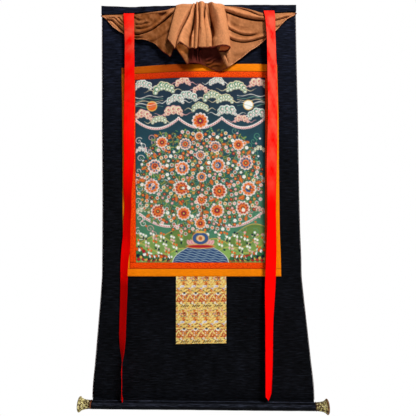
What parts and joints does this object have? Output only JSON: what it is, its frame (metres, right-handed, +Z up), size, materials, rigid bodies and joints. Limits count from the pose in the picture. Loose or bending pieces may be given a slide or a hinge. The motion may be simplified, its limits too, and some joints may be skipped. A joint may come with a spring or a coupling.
{
  "type": "thangka scroll painting with its bottom roller",
  "caption": "Hanging scroll: bordered picture on a flared black ground cloth, gathered silk veil, red ribbons, wooden roller with brass knobs.",
  "frame": {"origin": "middle of the top edge, on the plane of the wall behind it", "axes": "+Z up, -Y out of the wall towards the viewer, +X to the viewer's right"},
  "size_m": [0.8646, 0.0572, 1.4226],
  "materials": {
    "ground_cloth": "matt black cloth with a fine weave",
    "piping": "maroon cloth piping",
    "picture": null,
    "inner_border": "orange-red brocade silk",
    "outer_border": "orange-yellow brocade silk",
    "door_brocade": "gold-ground brocade with a small repeat",
    "veil_silk": "soft brown silk with a dark stitched hem",
    "ribbon": "smooth bright red ribbon",
    "roller_wood": "stained wood",
    "knob_brass": "aged embossed brass"
  },
  "bodies": {
    "root": {"ground_cloth": "ground_cloth", "head_band": "ground_cloth", "edge_piping_left": "piping", "edge_piping_right": "piping", "picture_panel": "picture", "inner_border_top": "inner_border", "inner_border_bottom": "inner_border", "inner_border_left": "inner_border", "inner_border_right": "inner_border", "outer_border_top": "outer_border", "outer_border_bottom": "outer_border", "outer_border_left": "outer_border", "outer_border_right": "outer_border", "door_panel": "door_brocade", "veil": "veil_silk", "ribbon_left": "ribbon", "ribbon_right": "ribbon", "roller": "roller_wood", "knob_left": "knob_brass", "knob_right": "knob_brass"}
  },
  "joints": []
}
